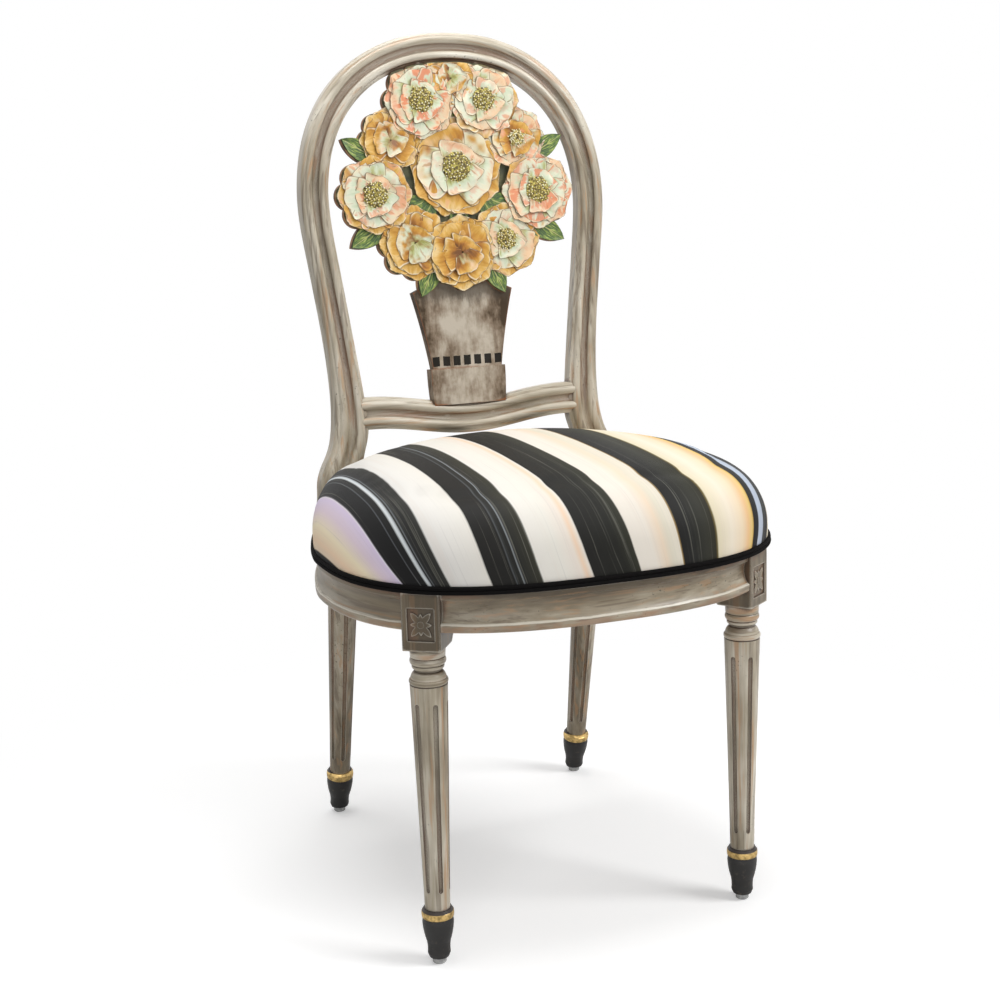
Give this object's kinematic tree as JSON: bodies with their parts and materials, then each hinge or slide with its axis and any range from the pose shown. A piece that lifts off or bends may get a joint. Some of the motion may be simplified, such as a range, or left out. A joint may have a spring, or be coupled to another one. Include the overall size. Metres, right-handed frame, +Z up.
{
  "type": "side chair",
  "caption": "Upholstered side chair with an oval moulded back, a pierced vase-and-flowers splat, turned fluted legs and a round-fronted striped seat.",
  "frame": {"origin": "on the floor, at the middle of the bottom of the overall box", "axes": "+Z up, -Y towards the front of the chair, +X towards the sitter's left"},
  "size_m": [0.5179, 0.537, 1.0008],
  "materials": {
    "frame_paint": "distressed greige paint over a warm brown undercoat, satin wax",
    "vase_paint": "shaded grey-brown paint, satin",
    "flower_paint": "hand-painted flowers in cream, peach, coral and ochre with green leaves, satin varnish",
    "black_paint": "satin black paint",
    "gilt": "aged gilt",
    "glide_plastic": "grey nylon",
    "striped_cloth": "broad black and ivory stripes, plain woven cotton",
    "black_cloth": "black woven cloth",
    "foam": "open-cell upholstery foam",
    "plywood": "raw birch plywood",
    "raw_wood": "unfinished beech",
    "screw_steel": "zinc-plated steel"
  },
  "bodies": {
    "root": {"corner_brace_front_left": "raw_wood", "corner_brace_front_right": "raw_wood", "corner_brace_rear_left": "raw_wood", "corner_brace_rear_right": "raw_wood", "crest_dowels": "raw_wood", "crest_rail": "frame_paint", "dust_cover": "black_cloth", "flower_panel": "flower_paint", "foot_front_left": "black_paint", "foot_front_right": "black_paint", "foot_rear_left": "black_paint", "foot_rear_right": "black_paint", "front_leg_left": "frame_paint", "front_leg_right": "frame_paint", "front_seat_rail": "frame_paint", "gilt_rings": "gilt", "glides": "glide_plastic", "lap_screws": "screw_steel", "lower_back_rail": "frame_paint", "panel_dowels": "raw_wood", "plinth_dowels": "raw_wood", "rear_leg_left": "frame_paint", "rear_leg_right": "frame_paint", "rear_seat_rail": "frame_paint", "seat_board": "plywood", "seat_cover": "striped_cloth", "seat_foam": "foam", "seat_screws": "screw_steel", "seat_welt": "black_cloth", "side_seat_rail_left": "frame_paint", "side_seat_rail_right": "frame_paint", "vase_dowels": "raw_wood", "vase_plinth": "vase_paint", "vase_splat": "vase_paint"}
  },
  "joints": []
}
